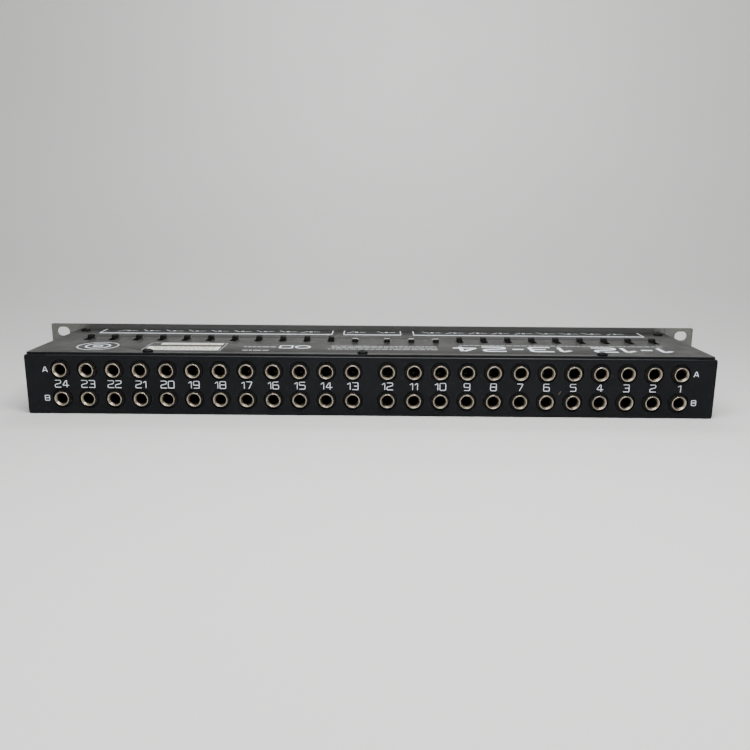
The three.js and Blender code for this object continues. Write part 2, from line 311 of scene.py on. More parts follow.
def finished(made, material, body=CASING, replaces=()):
    """Gives a piece its material and body, and hides the CAD nodes that it stands for."""
    made.data.materials.clear()
    made.data.materials.append(material)
    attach(made, body)
    if replaces:
        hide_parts(*replaces)
    return made


# ------------------------------------------------------------------ materials


class Nodes:
    """A material and short names for the nodes that it is made of."""

    def __init__(self, name, roughness, metallic=0.0, specular=0.5):
        self.material = bpy.data.materials.new(name)
        self.material.use_nodes = True
        self.tree = self.material.node_tree
        self.shader = self.tree.nodes["Principled BSDF"]
        self.shader.inputs["Roughness"].default_value = roughness
        self.shader.inputs["Metallic"].default_value = metallic
        self.shader.inputs["Specular IOR Level"].default_value = specular
        self.place = self.add("ShaderNodeTexCoord").outputs["Object"]

    def add(self, kind, **values):
        node = self.tree.nodes.new(kind)
        for key, value in values.items():
            setattr(node, key, value)
        return node

    def link(self, output, target):
        self.tree.links.new(output, target)

    def noise(self, scale, detail=3.0, stretch=(1, 1, 1)):
        mapping = self.add("ShaderNodeMapping")
        mapping.inputs["Scale"].default_value = stretch
        self.link(self.place, mapping.inputs["Vector"])
        texture = self.add("ShaderNodeTexNoise")
        texture.inputs["Scale"].default_value = scale
        texture.inputs["Detail"].default_value = detail
        self.link(mapping.outputs["Vector"], texture.inputs["Vector"])
        return texture.outputs["Fac"]

    def ramp(self, source, *stops):
        """A colour or grey ramp; each stop is (position, colour or grey)."""
        node = self.add("ShaderNodeValToRGB")
        elements = node.color_ramp.elements
        while len(elements) < len(stops):
            elements.new(0.5)
        for element, (position, value) in zip(elements, stops):
            element.position = position
            rgb = value if isinstance(value, tuple) else (value, value, value)
            element.color = (*rgb, 1)
        self.link(source, node.inputs["Fac"])
        return node.outputs["Color"]

    def mix(self, factor, first, second):
        node = self.add("ShaderNodeMix", data_type="RGBA")
        for socket, value in ((node.inputs[0], factor), (node.inputs[6], first), (node.inputs[7], second)):
            if isinstance(value, bpy.types.NodeSocket):
                self.link(value, socket)
            elif isinstance(value, tuple):
                socket.default_value = (*value, 1)
            else:
                socket.default_value = value
        return node.outputs[2]

    def times(self, first, second):
        node = self.add("ShaderNodeMath", operation="MULTIPLY")
        for socket, value in zip(node.inputs, (first, second)):
            if isinstance(value, bpy.types.NodeSocket):
                self.link(value, socket)
            else:
                socket.default_value = value
        return node.outputs[0]

    def colour(self, output):
        self.link(output, self.shader.inputs["Base Color"])
        return self

    def roughness(self, output):
        self.link(output, self.shader.inputs["Roughness"])
        return self

    def bump(self, *layers):
        """Each layer is (height, depth in metres)."""
        normal = None
        for height, depth in layers:
            node = self.add("ShaderNodeBump")
            node.inputs["Distance"].default_value = depth
            self.link(height, node.inputs["Height"])
            if normal is not None:
                self.link(normal, node.inputs["Normal"])
            normal = node.outputs["Normal"]
        self.link(normal, self.shader.inputs["Normal"])
        return self


def black_paint(name, dark, light, rough, specular=0.5):
    """Satin paint on sheet steel: a fine grain, faint cloudy patches and a little dust."""
    paint = Nodes(name, rough, specular=specular)
    grain = paint.noise(2600, 2)
    clouds = paint.noise(14, 5)
    dust = paint.ramp(paint.noise(420, 4), (0.62, 0.0), (0.72, 1.0))
    base = paint.mix(paint.ramp(clouds, (0.3, 0.0), (0.7, 1.0)), dark, light)
    paint.colour(paint.mix(paint.times(dust, 0.06), base, (0.16, 0.155, 0.145)))
    paint.roughness(paint.ramp(paint.noise(60, 4), (0.3, rough - 0.05), (0.7, rough + 0.06)))
    paint.bump((grain, 0.008 * MM), (paint.noise(700, 2), 0.012 * MM))
    return paint.material


def plated_metal():
    """Warm nickel on the bushings, a little tarnished, with fine turning marks."""
    metal = Nodes("plated_metal", 0.3, 1.0)
    patches = metal.ramp(metal.noise(160, 4), (0.3, 0.0), (0.75, 1.0))
    metal.colour(metal.mix(patches, (0.52, 0.46, 0.365), (0.36, 0.31, 0.24)))
    metal.roughness(metal.ramp(metal.noise(300, 3), (0.3, 0.22), (0.7, 0.36)))
    metal.bump((metal.noise(900, 2, (1, 6, 1)), 0.01 * MM))
    return metal.material


def moulded(name, dark, light, rough, specular=0.5):
    """Moulded plastic with a matt, slightly uneven skin."""
    plastic = Nodes(name, rough, specular=specular)
    patches = plastic.ramp(plastic.noise(90, 4), (0.35, 0.0), (0.7, 1.0))
    plastic.colour(plastic.mix(patches, dark, light))
    plastic.roughness(plastic.ramp(plastic.noise(240, 3), (0.3, rough - 0.08), (0.7, rough + 0.1)))
    plastic.bump((plastic.noise(1500, 2), 0.012 * MM))
    return plastic.material


def bare_metal(name, light, dark, rough, grain=(1, 1, 40)):
    """Rolled or plated sheet, with a grain along one direction and a few stains."""
    metal = Nodes(name, rough, 0.9)
    lines = metal.noise(55, 6, grain)
    stains = metal.ramp(metal.noise(24, 5), (0.45, 0.0), (0.75, 1.0))
    metal.colour(metal.mix(metal.times(stains, 0.6), metal.mix(lines, dark, light), dark))
    metal.roughness(metal.ramp(lines, (0.3, rough - 0.06), (0.7, rough + 0.1)))
    metal.bump((lines, 0.01 * MM))
    return metal.material


def printed(name, colour, worn):
    """Screen-print ink, slightly thin in places."""
    ink = Nodes(name, 0.55)
    thin = ink.ramp(ink.noise(900, 4), (0.5, 0.0), (0.8, 1.0))
    ink.colour(ink.mix(ink.times(thin, 0.5), colour, worn))
    ink.roughness(ink.ramp(ink.noise(300, 2), (0.3, 0.5), (0.7, 0.65)))
    ink.bump((ink.noise(1800, 2), 0.01 * MM))
    return ink.material


def board_material():
    """Green solder mask over copper tracks, with plated pads."""
    board = Nodes("circuit_board", 0.35)
    tracks = board.add("ShaderNodeTexBrick")
    tracks.inputs["Scale"].default_value = 60
    tracks.inputs["Mortar Size"].default_value = 0.05
    board.link(board.place, tracks.inputs["Vector"])
    base = board.mix(tracks.outputs["Fac"], (0.012, 0.105, 0.045), (0.03, 0.2, 0.09))
    pads = board.add("ShaderNodeTexVoronoi")
    pads.inputs["Scale"].default_value = 260
    pads.inputs["Randomness"].default_value = 0.15
    board.link(board.place, pads.inputs["Vector"])
    spots = board.ramp(pads.outputs["Distance"], (0.18, 1.0), (0.22, 0.0))
    board.colour(board.mix(spots, base, (0.5, 0.48, 0.42)))
    board.roughness(board.ramp(board.noise(80, 3), (0.3, 0.28), (0.7, 0.45)))
    board.bump((tracks.outputs["Fac"], 0.02 * MM))
    return board.material


COVER_PAINT = black_paint("cover_paint", (0.021, 0.0202, 0.0196), (0.029, 0.0281, 0.0272), 0.38, 0.09)
TRAY_PAINT = black_paint("tray_paint", (0.0037, 0.0041, 0.0056), (0.0072, 0.0078, 0.0096), 0.42, 0.12)
# The rear top fold gets a glossier black that is also lighter than the tray's: the gloss is the paint's
# own, the lighter colour is a painted highlight along the lit fold.
BEND_PAINT_AND_HIGHLIGHT = black_paint("bend_paint_and_highlight", (0.01, 0.0105, 0.012), (0.016, 0.0165, 0.018), 0.38, 0.4)
# The front wall's inner face gets a grey much lighter than the tray's black paint: painted light, standing
# in for the light that the cover throws onto it.
WALL_BOUNCE_GREY = black_paint("wall_painted_bounce_light", (0.05, 0.05, 0.05), (0.075, 0.075, 0.074), 0.5)
PLATED = plated_metal()
JACK_PLASTIC = moulded("jack_plastic", (0.002, 0.002, 0.0025), (0.004, 0.004, 0.0045), 0.5, 0.2)
LEVER_PLASTIC = moulded("lever_plastic", (0.002, 0.002, 0.002), (0.004, 0.004, 0.004), 0.5, 0.2)
SCREW_BLACK = moulded("screw_black", (0.003, 0.003, 0.004), (0.006, 0.006, 0.007), 0.5, 0.15)
PANEL_METAL = bare_metal("panel_metal", (0.22, 0.22, 0.208), (0.15, 0.15, 0.142), 0.5)
# Pale cream for the front end face of each slot in the cover.
PALE_SLOT_FACE = bare_metal("pale_slot_face", (0.85, 0.84, 0.78), (0.7, 0.69, 0.64), 0.6)
PLAIN_STEEL = bare_metal("plain_steel", (0.62, 0.62, 0.6), (0.45, 0.45, 0.44), 0.35)
BRASS = bare_metal("post_brass", (0.66, 0.52, 0.26), (0.5, 0.38, 0.18), 0.35)
WHITE_INK = printed("white_ink", (0.84, 0.9, 0.96), (0.7, 0.75, 0.8))
THIN_INK = printed("thin_ink", (0.4, 0.42, 0.43), (0.24, 0.25, 0.26))
DARK_INK = printed("dark_ink", (0.02, 0.02, 0.022), (0.06, 0.06, 0.06))
LABEL = printed("label_paper", (0.86, 0.85, 0.75), (0.72, 0.71, 0.61))
# Pale cream standing in for a glint of light on the tops of four levers: a painted highlight.
LEVER_GLINT = moulded("lever_painted_glint", (0.5, 0.48, 0.41), (0.66, 0.64, 0.56), 0.45)
SCUFF = bare_metal("scuffed_steel", (0.3, 0.25, 0.17), (0.2, 0.17, 0.12), 0.6)
BOARD = board_material()

# ------------------------------------------------------------------ chassis tray


def folded(outer, inner):
    """The section of a bent sheet, from the corners of its outer and its inner line."""
    return rounded_path(outer, BEND, 6) + rounded_path(inner, BEND - SHEET, 6)[::-1]


def recolour(made, material, chosen):
    """Gives the faces whose centre and normal pass the test a second material."""
    made.data.materials.append(material)
    for face in made.data.polygons:
        if chosen(face.center, face.normal):
            face.material_index = len(made.data.materials) - 1


def tray_sheet():
    """The tray without its holes: the floor with the rear panel, the front wall and the sides."""
    half = TRAY[1].x
    lip, inner_top = REAR_FACE - REAR_FLANGE, TRAY_TOP - SHEET
    outer_rear = [(REAR_FACE, 0), (REAR_FACE, TRAY_TOP), (lip, TRAY_TOP)]
    inner_rear = [(REAR_FACE - SHEET, SHEET), (REAR_FACE - SHEET, inner_top), (lip, inner_top)]
    full = folded([(WALL_REAR, 0), *outer_rear], [(WALL_REAR, SHEET), *inner_rear])
    tray = prism("chassis_tray_fine", full, -half, half, "x")
    outline = prism("outline", rounded_box(-half, half, 0, TRAY_TOP, TRAY_CORNER), -1, 1, "y")
    carve(tray, "INTERSECT", outline)

    wall_top, foot = TRAY[1].z, WALL_REAR + 4 * SHEET
    front = folded([(WALL_FACE, wall_top), (WALL_FACE, 0), (foot, 0)],
                   [(WALL_REAR, wall_top), (WALL_REAR, SHEET), (foot, SHEET)])
    carve(tray, "UNION", prism("front_wall", front, -FRONT_WALL_HALF, FRONT_WALL_HALF, "x"))

    reach = half - SIDE_FLANGE
    side = folded([(reach, 0), (half, 0), (half, TRAY_TOP), (reach, TRAY_TOP)],
                  [(reach, SHEET), (half - SHEET, SHEET), (half - SHEET, inner_top), (reach, inner_top)])
    seam = REAR_FACE - 0.35 * MM
    for sign in (1, -1):
        mirrored = [(sign * u, v) for u, v in side]
        carve(tray, "UNION", prism("side", mirrored, WALL_REAR, seam, "y"))
    return tray


def jack_hole(x, z):
    """A round cutter along Y through the rear panel, a little wider at the outer face."""
    radius, depth, flare = PANEL_HOLE - 0.05 * MM, 3 * MM, 0.16 * MM
    inner, outer, mouth = REAR_FACE - depth, REAR_FACE + flare, radius + 2 * flare
    profile = [(0, inner), (radius, inner), (radius, REAR_FACE - flare), (mouth, outer), (0, outer)]
    made = turned_solid("hole", profile)
    made.data.transform(Matrix.Translation((x, 0, z)))
    return made


def screw_hole(x, y):
    """The outline of a hole for a screw's shank."""
    return circle((x, y), SCREW_HOLE, 24)


def tray_cutters():
    """One cutter for the jack holes, the four windows of the front wall and the cover's screw holes."""
    cutters = [jack_hole(CHANNEL_X[n], z) for n in CHANNELS for z in ROW_Z.values()]
    beside, above, depth = 8 * MM, 7 * MM, 3 * MM
    for span in HALVES.values():
        x0, x1 = CHANNEL_X[span[0]] - beside, CHANNEL_X[span[-1]] + beside
        for z in ROW_Z.values():
            window = rounded_box(x0, x1, z - above, z + above, 1 * MM)
            cutters.append(prism("window", window, WALL_FACE - depth, WALL_FACE + depth, "y"))
    below_flange, above_flange = 30 * MM, 60 * MM
    for name in COVER_SCREWS:
        spot = middle_of(name)
        cutters.append(prism("screw_hole", screw_hole(spot.x, spot.y), below_flange, above_flange, "z"))
    return gathered("cutters", cutters)


def chassis_tray():
    tray = smooth(carve(tray_sheet(), "DIFFERENCE", tray_cutters()))
    finished(tray, TRAY_PAINT, replaces=["chassis_tray"])
    # The inner face of the front wall gets the lighter grey: painted light from the cover.
    recolour(tray, WALL_BOUNCE_GREY, lambda c, n: abs(c.y - WALL_REAR) < 0.1 * MM and n.y > 0.9)
    # The rear top fold: glossier paint with a lighter colour, a painted highlight.
    recolour(tray, BEND_PAINT_AND_HIGHLIGHT, lambda c, n: c.z > TRAY_TOP - 2 * MM and n.y > 0.25 and n.z > 0.4)


# ------------------------------------------------------------------ cover and front panel


def top_cover():
    low, high = COVER
    outline = rounded_box(low.x, high.x, low.y, high.y, PLATE_CORNER)
    holes = [screw_hole(middle_of(s).x, middle_of(s).y) for s in COVER_SCREWS]
    reach_x, reach_y = SLOT[0] / 2, SLOT[1] / 2
    for x in CHANNEL_X.values():
        holes.append(rounded_box(x - reach_x, x + reach_x, SLOT_Y - reach_y, SLOT_Y + reach_y, 0.4 * MM, 4))
    cover = plate("top_cover_fine", outline, holes, SHEET, 0.08 * MM)
    cover.data.transform(Matrix.Translation((0, 0, (low.z + high.z) / 2)))
    smooth(cover)
    finished(cover, COVER_PAINT, replaces=["top_cover"])
    slot_end = SLOT_Y - reach_y
    # The front end face of each slot gets the pale cream colour.
    recolour(cover, PALE_SLOT_FACE, lambda c, n: abs(c.y - slot_end) < 0.2 * MM and n.y > 0.6)
    rim = 0.4 * MM
    recolour(cover, TRAY_PAINT, lambda c, n: n.z < 0.95 and (c.y > high.y - rim or abs(c.x) > high.x - rim))


def upright(made, y):
    """Stands a plate made in XY up in XZ, its middle at y."""
    made.data.transform(Matrix.Translation((0, y, 0)) @ rotation(90, "X"))
    return made


def front_panel():
    low, high = PANEL
    outline = rounded_box(low.x, high.x, low.z, high.z, PLATE_CORNER)
    holes = [circle((x, z), PANEL_HOLE) for x in CHANNEL_X.values() for z in ROW_Z.values()]
    middle = (low.z + high.z) / 2
    for side in (-1, 1):
        for up in (-1, 1):
            spot = (side * RACK_SLOT["span_x"] / 2, middle + up * RACK_SLOT["span_z"] / 2)
            holes.append(oblong(spot, RACK_SLOT["length"], RACK_SLOT["width"]))
    holes += [screw_hole(middle_of(s).x, middle_of(s).z) for s in PANEL_SCREWS]
    sheet = plate("front_panel_fine", outline, holes, high.y - low.y, 0.2 * MM)
    panel = upright(sheet, (low.y + high.y) / 2)
    seat = TRAY[1].x + 0.5 * MM
    corners = [(-seat, -1), (seat, -1), (seat, 1), (-seat, 1)]
    carve(panel, "DIFFERENCE", prism("rebate", corners, high.y - PANEL_REBATE, 1, "y"))
    finished(smooth(panel), PANEL_METAL, replaces=["front_panel"])


# ------------------------------------------------------------------ screws


def pan_head(radius, height, shank, length):
    """A pan-head screw along Y with a cross recess. Its head stands from y = 0 to y = height."""
    side, dome, steps = 0.42, 0.58, 10
    profile = [(0, height)]
    for k in range(1, steps + 1):
        angle = math.radians(90 * k / steps)
        profile.append((radius * math.sin(angle), height * (side + dome * math.cos(angle))))
    profile += [(radius, 0.12 * height), (radius * 0.96, 0), (shank, 0), (shank, -length + 0.4 * MM)]
    profile += [(shank * 0.7, -length), (0, -length)]
    screw = turned_solid("pan_head", profile, 40)
    arm, thick, depth = radius * 0.62, radius * 0.13, height * 0.55
    for angle in (0, 90):
        bar = rounded_box(-arm, arm, -thick, thick, thick * 0.6, 3)
        cutter = prism("recess", bar, -height - 1 * MM, -height + depth, "z")
        cutter.data.transform(rotation(90, "X") @ rotation(angle, "Z"))
        carve(screw, "DIFFERENCE", cutter)
    return smooth(screw, 40)


def set_screw(node, head, material):
    """A screw in the place of a CAD one, its head towards -Y on the front panel and +Z elsewhere."""
    low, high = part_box(node)
    centre = (low + high) / 2
    if node in PANEL_SCREWS:
        whole, turn = high.y - low.y, rotation(180, "X")
        seat = Vector((centre.x, low.y + head, centre.z))
    else:
        whole, turn = high.z - low.z, rotation(90, "X")
        seat = Vector((centre.x, centre.y, COVER[1].z if node in COVER_SCREWS else high.z - head))
    width = high.x - low.x
    screw = pan_head(width / 2, head, width * 0.23, whole - head)
    spin = Matrix.Rotation(centre.x * 40, 4, "Y")  # each recess points its own way
    screw.data.transform(Matrix.Translation(seat) @ turn @ spin)
    screw.name = screw.data.name = node + "_fine"
    finished(screw, material, replaces=[node])


# ------------------------------------------------------------------ jacks


def jack_body(wall):
    """One socket along Y, its mouth towards +Y. y = 0 is the outer face of a panel that is wall thick."""
    face = -wall - 0.3 * MM
    back = face - JACK_DEPTH
    outline = rounded_box(-JACK_HALF_WIDTH, JACK_HALF_WIDTH, -BOARD_SIDE, FAR_SIDE, 0.5 * MM, 3)
    body = soften(prism("jack", outline, back, face, "y"), 0.25 * MM)
    for side in (-1, 1):
        x0, x1 = sorted((side * (JACK_HALF_WIDTH - 0.7 * MM), side * (JACK_HALF_WIDTH + 1 * MM)))
        section = [(x0, -4 * MM), (x1, -4 * MM), (x1, 3 * MM), (x0, 3 * MM)]
        carve(body, "DIFFERENCE", prism("groove", section, back + 6 * MM, face - 5 * MM, "y"))
    foot, edge, rim = face - 1 * MM, -0.75 * MM, -0.5 * MM
    wide, narrow = PANEL_HOLE - 0.35 * MM, PANEL_HOLE - 0.6 * MM
    shoulder = [(0, foot), (wide, foot), (wide, edge), (narrow, rim), (0, rim)]
    carve(body, "UNION", turned_solid("shoulder", shoulder))
    end, mouth = back + 1 * MM, 5 * MM
    carve(body, "DIFFERENCE", turned_solid("bore", [(0, end), (BORE, end), (BORE, mouth), (0, mouth)]))
    return smooth(body)


def bushing(out):
    """The plated ring that lines a socket's mouth and stands out of the panel."""
    lip, seat, end = out - 0.02 * MM, -0.45 * MM, -3.5 * MM
    lining, inner_round, outer_round = BORE + 0.7 * MM, 0.22 * MM, 0.3 * MM
    profile = [(BORE, end), (BORE, lip - 1.25 * MM)]
    profile += [(BORE + (0.15 + 0.62 * t) * MM, lip + (-1.0 + 0.86 * t) * MM) for t in (0.0, 0.5, 1.0)]
    profile += arc((BORE + 0.98 * MM, lip - inner_round), inner_round, 155, 80, 4)
    profile += arc((BUSHING - outer_round, lip - outer_round), outer_round, 88, 0, 5)
    profile += [(BUSHING, seat), (lining, seat), (lining, end)]
    return smooth(lathe("bushing", profile, 56), 28)


def contact_spring():
    """The bent tip contact that shows deep in a bore."""
    bends = [(-2 * MM, -24 * MM), (-2.1 * MM, -14 * MM), (-1.1 * MM, -12 * MM), (-2.3 * MM, -9 * MM)]
    half, thick = 0.9 * MM, 0.25 * MM
    section = [(-half, 0), (half, 0), (half, -thick), (-half, -thick)]
    bm = bmesh.new()
    rows = [[bm.verts.new((x, y, z + lift)) for x, lift in section] for z, y in rounded_path(bends, 1 * MM)]
    for a, b in zip(rows, rows[1:]):
        for k in range(4):
            m = (k + 1) % 4
            bm.faces.new((a[k], a[m], b[m], b[k]))
    bm.faces.new(rows[0])
    bm.faces.new(rows[-1])
    return smooth(object_from("contact", bm))


def jack_place(n, row, rear):
    """Where a socket made by jack_body goes, and how it is turned."""
    y = REAR_FACE if rear else PANEL[0].y
    turn = Matrix.Identity(4) if rear else rotation(180, "Z")
    if row == "b":
        turn = turn @ rotation(180, "Y")
    return Matrix.Translation((CHANNEL_X[n], y, ROW_Z[row])) @ turn


def jack_bank(side, row, half):
    rear = side == "rear"
    wall = SHEET if rear else WALL_REAR - PANEL[0].y
    out = (NOSE_REAR - REAR_FACE) if rear else (PANEL[0].y - NOSE_FRONT)
    places = [jack_place(n, row, rear) for n in HALVES[half]]
    name = f"{side}_jacks_{row}_{half}"
    bodies = gathered(name + "_bodies", [jack_body(wall)], places)
    finished(bodies, JACK_PLASTIC, replaces=[name])
    finished(gathered(name + "_bushings", [bushing(out)], places), PLATED)
    finished(gathered(name + "_contacts", [contact_spring()], places), PLATED)


# ------------------------------------------------------------------ switch levers


def switch_lever(n):
    """A lever with a grooved top, on a shoe as wide and long as the CAD lever."""
    node = f"switch_lever_{n:02d}"
    low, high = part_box(node)
    x, y, top = (low.x + high.x) / 2, (low.y + high.y) / 2, high.z
    half, reach = 1.85 * MM, 2.1 * MM
    shoe_top = low.z + 2.0 * MM
    shoe = prism("shoe", rounded_box(low.x, high.x, low.y, high.y, 0.4 * MM, 3), low.z, shoe_top, "z")
    root, shoulder, groove = shoe_top - 0.5 * MM, top - 0.5 * MM, top - 0.45 * MM
    ridge = [(-reach, root), (reach, root), (reach, shoulder)]
    ridge += [(reach * 0.62, top), (reach * 0.34, top), (reach * 0.2, groove)]
    ridge += [(-reach * 0.2, groove), (-reach * 0.34, top), (-reach * 0.62, top), (-reach, shoulder)]
    stem = prism("stem", [(y + u, v) for u, v in ridge], x - half, x + half, "x")
    lever = soften(carve(shoe, "UNION", stem), 0.12 * MM)
    lever.name = lever.data.name = node + "_fine"
    finished(smooth(lever), LEVER_PLASTIC, body=f"lever_{n:02d}", replaces=[node])
    # On these levers the top faces of the front half are pale cream: a painted glint.
    if n in GLINT_LEVERS:
        skin = top - 0.4 * MM
        recolour(lever, LEVER_GLINT, lambda c, normal: c.z > skin and c.y < y and normal.z > 0.5)


# ------------------------------------------------------------------ print and label

# Centre lines of the characters in a box one wide and one high; True closes the line.
GLYPHS = {
    "0": [(True, [(0, 0), (1, 0), (1, 1), (0, 1)])],
    "1": [(False, [(0, 0.74), (0.9, 1), (0.9, 0)])],
    "2": [(False, [(0, 1), (1, 1), (1, 0.6), (0, 0.4), (0, 0), (1.05, 0)])],
    "3": [
        (False, [(0, 1), (1, 1), (1, 0)]),
        (False, [(0.3, 0.51), (0.9, 0.51)]),
        (False, [(1, 0), (0, 0)]),
    ],
    "4": [(False, [(0.74, 0), (0.74, 1)]), (False, [(0.62, 1), (0, 0.28), (1.12, 0.28)])],
    "5": [(False, [(1, 1), (0, 1), (0, 0.57), (1, 0.57), (1, 0), (0, 0)])],
    "6": [(False, [(0.95, 1), (0, 1), (0, 0), (1, 0), (1, 0.56), (0.1, 0.56)])],
    "7": [(False, [(0, 1), (1.02, 1), (0.42, 0)])],
    "8": [(True, [(0, 0), (1, 0), (1, 1), (0, 1)]), (False, [(0.1, 0.52), (0.9, 0.52)])],
    "9": [(False, [(0.05, 0), (1, 0), (1, 1), (0, 1), (0, 0.44), (0.9, 0.44)])],
    "A": [(False, [(0, 0), (0.42, 1), (0.58, 1), (1, 0)]), (False, [(0.2, 0.3), (0.8, 0.3)])],
    "B": [
        (True, [(0, 0), (1, 0), (1, 1), (0, 1)]),
        (False, [(0.05, 0.52), (0.95, 0.52)]),
        (False, [(0, 0), (0, 1)]),
    ],
    "-": [(False, [(0, 0.5), (1, 0.5)])],
}
GLYPH_WIDTH = {"1": 0.48, "-": 0.5, " ": 0.45, "A": 0.92, "B": 0.86}  # shares of the height, as below
DIGIT_WIDTH = 0.82
GLYPH_GAP = 0.14
GLYPH_BEND = 0.14


class Print:
    """Flat marks of one ink on one face. to_space takes (across, up, out of the face) to a point.
    Strokes that follow each other differ in thickness, so that their tops don't meet in one plane."""

    def __init__(self, to_space):
        self.bm = bmesh.new()
        self.to_space = to_space
        self.strokes = 0

    def line(self, points, width, closed=False):
        points = [Vector(p) for p in points]
        count = len(points)
        ink = INK * (1 + 0.08 * (self.strokes % 7))
        self.strokes += 1
        rings = []
        for i, point in enumerate(points):
            before = points[i - 1] if closed or i else point
            after = points[(i + 1) % count] if closed or i < count - 1 else point
            first, second = (point - before), (after - point)
            first = first.normalized() if first.length > 1e-9 else second.normalized()
            second = second.normalized() if second.length > 1e-9 else first
            along = (first + second).normalized()
            reach = width / 2 / max(0.5, along.dot(first))
            side = Vector((-along.y, along.x)) * reach
            corners = [(point + side, 0), (point - side, 0), (point - side, ink), (point + side, ink)]
            rings.append([self.bm.verts.new(self.to_space(p.x, p.y, w)) for p, w in corners])
        pairs = list(zip(rings, rings[1:])) + ([(rings[-1], rings[0])] if closed else [])
        for a, b in pairs:
            for k in range(4):
                m = (k + 1) % 4
                self.bm.faces.new((a[k], a[m], b[m], b[k]))
        if not closed:
            self.bm.faces.new(rings[0])
            self.bm.faces.new(rings[-1])

    def text(self, string, centre, height, stroke, stretch=1.0):
        """Plain squared characters, height tall, with lines stroke wide."""
        widths = [GLYPH_WIDTH.get(c, DIGIT_WIDTH) * height * stretch for c in string]
        gap = GLYPH_GAP * height
        x = centre[0] - (sum(widths) + gap * (len(string) - 1)) / 2
        base = centre[1] - height / 2
        for character, wide in zip(string, widths):
            for closed, points in GLYPHS.get(character, []):
                inner = [(x + stroke / 2 + u * (wide - stroke), base + stroke / 2 + v * (height - stroke))
                         for u, v in points]
                self.line(rounded_path(inner, height * GLYPH_BEND, 4, closed), stroke, closed)
            x += wide + gap

    def ring(self, centre, radius, width):
        self.line(circle(centre, radius, 40), width, closed=True)

    def bar(self, x0, x1, y0, y1):
        self.line([(x0, (y0 + y1) / 2), (x1, (y0 + y1) / 2)], y1 - y0)

    def dashes(self, x0, x1, y, height, draw):
        """A line of short bars of uneven length, where small lettering would be."""
        x = x0
        while x < x1 - 1.5 * MM:
            end = min(x1, x + draw.uniform(1.6, 5.5) * MM)
            self.bar(x, end, y - height / 2, y + height / 2)
            x = end + 0.8 * MM

    def done(self, name, material):
        return finished(object_from(name, self.bm), material)


def on_rear(u, v, w):
    return (-u, REAR_FACE + w, v)


def on_front(u, v, w):
    return (u, PANEL[0].y - w, v)


def on_cover(u, v, w):
    return (u, v, COVER[1].z + w)


def jack_numbers(name, to_space, flip, material):
    """The channel numbers between the rows, and A and B at both ends."""
    marks = Print(to_space)
    middle = (ROW_Z["a"] + ROW_Z["b"]) / 2
    digit_height, digit_stroke = 5.0 * MM, 0.44 * MM
    for n, x in CHANNEL_X.items():
        marks.text(str(n), (flip * x, middle), digit_height, digit_stroke)
    letter_height, letter_stroke, beyond = 3.7 * MM, 0.42 * MM, 9.9 * MM
    for row, z in ROW_Z.items():
        for n, side in ((1, -1), (24, 1)):
            x = flip * (CHANNEL_X[n] + side * beyond)
            marks.text(row.upper(), (x, z), letter_height, letter_stroke)
    return marks.done(name, material)


def paint_scuff():
    """A short scratch through the paint between channels 5 and 6."""
    scratch = Print(on_rear)
    x, z = -(CHANNEL_X[5] + CHANNEL_X[6]) / 2, ROW_Z["b"] + 5.7 * MM
    bends = [(x - 0.7 * MM, z - 1.0 * MM), (x + 0.1 * MM, z + 0.1 * MM), (x + 0.8 * MM, z + 1.3 * MM)]
    scratch.line(bends, 0.32 * MM)
    scratch.done("paint_scuff", SCUFF)


def cover_print():
    """Three brackets with small wiring diagrams, a large legend, round marks and rows of small bars."""
    marks = Print(on_cover)
    draw = random.Random(24)
    bracket, tick, tick_end, diagram_y = -26.3 * MM, 0.32 * MM, COVER[0].y + 1.5 * MM, -37 * MM
    front_edge, rear_edge = bracket - 1.1 * MM, bracket + 1.1 * MM
    for x0, x1 in ((28.8, 198), (-21.4, 20.2), (-198, -30.8)):
        x0, x1 = x0 * MM, x1 * MM
        marks.bar(x0, x1, front_edge, rear_edge)
        for x in (x0, x1):
            marks.bar(x - tick, x + tick, tick_end, front_edge)
        wiring_diagrams(marks, x0, x1, diagram_y, draw)
    marks.text("1-12 13-24", centre=(-127 * MM, 25 * MM), height=17.0 * MM, stroke=2.6 * MM, stretch=1.17)
    marks.ring(centre=(45 * MM, 22.5 * MM), radius=4.6 * MM, width=1.5 * MM)
    marks.line(rounded_box(52 * MM, 60 * MM, 18 * MM, 27 * MM, 1 * MM), width=1.3 * MM, closed=True)
    for radius, width in ((13.0, 0.7), (7.6, 1.3), (2.6, 1.5)):
        marks.ring(centre=(180.5 * MM, 24.6 * MM), radius=radius * MM, width=width * MM)
    marks.done("cover_print", WHITE_INK)
    small = Print(on_cover)
    small_rows = [(-197, -60, 12.6, 1.6), *((-44, 28, y, 1.7) for y in (18.5, 23.5, 28.5))]
    small_rows += [(63, 84, 23, 2.2), (66, 83, 35, 2.2)]
    for x0, x1, y, height in small_rows:
        small.dashes(x0 * MM, x1 * MM, y * MM, height * MM, draw)
    small.done("cover_small_print", THIN_INK)


def wiring_diagrams(marks, x0, x1, y, draw):
    """For each channel in front of a bracket, a contact, a line to the next and a slanted switch arm."""
    room, gap, line_end, arm_end, stroke = 8 * MM, 2.2 * MM, 6.5 * MM, 7 * MM, 0.5 * MM
    for x in CHANNEL_X.values():
        if not x0 < x - room < x + room < x1:
            continue
        marks.ring((x, y), 0.9 * MM, 0.8 * MM)
        marks.bar(x - line_end, x - gap, y - stroke / 2, y + stroke / 2)
        lean = draw.choice((-4, 4)) * MM
        marks.line([(x + gap, y - lean / 2), (x + arm_end, y + lean)], stroke)


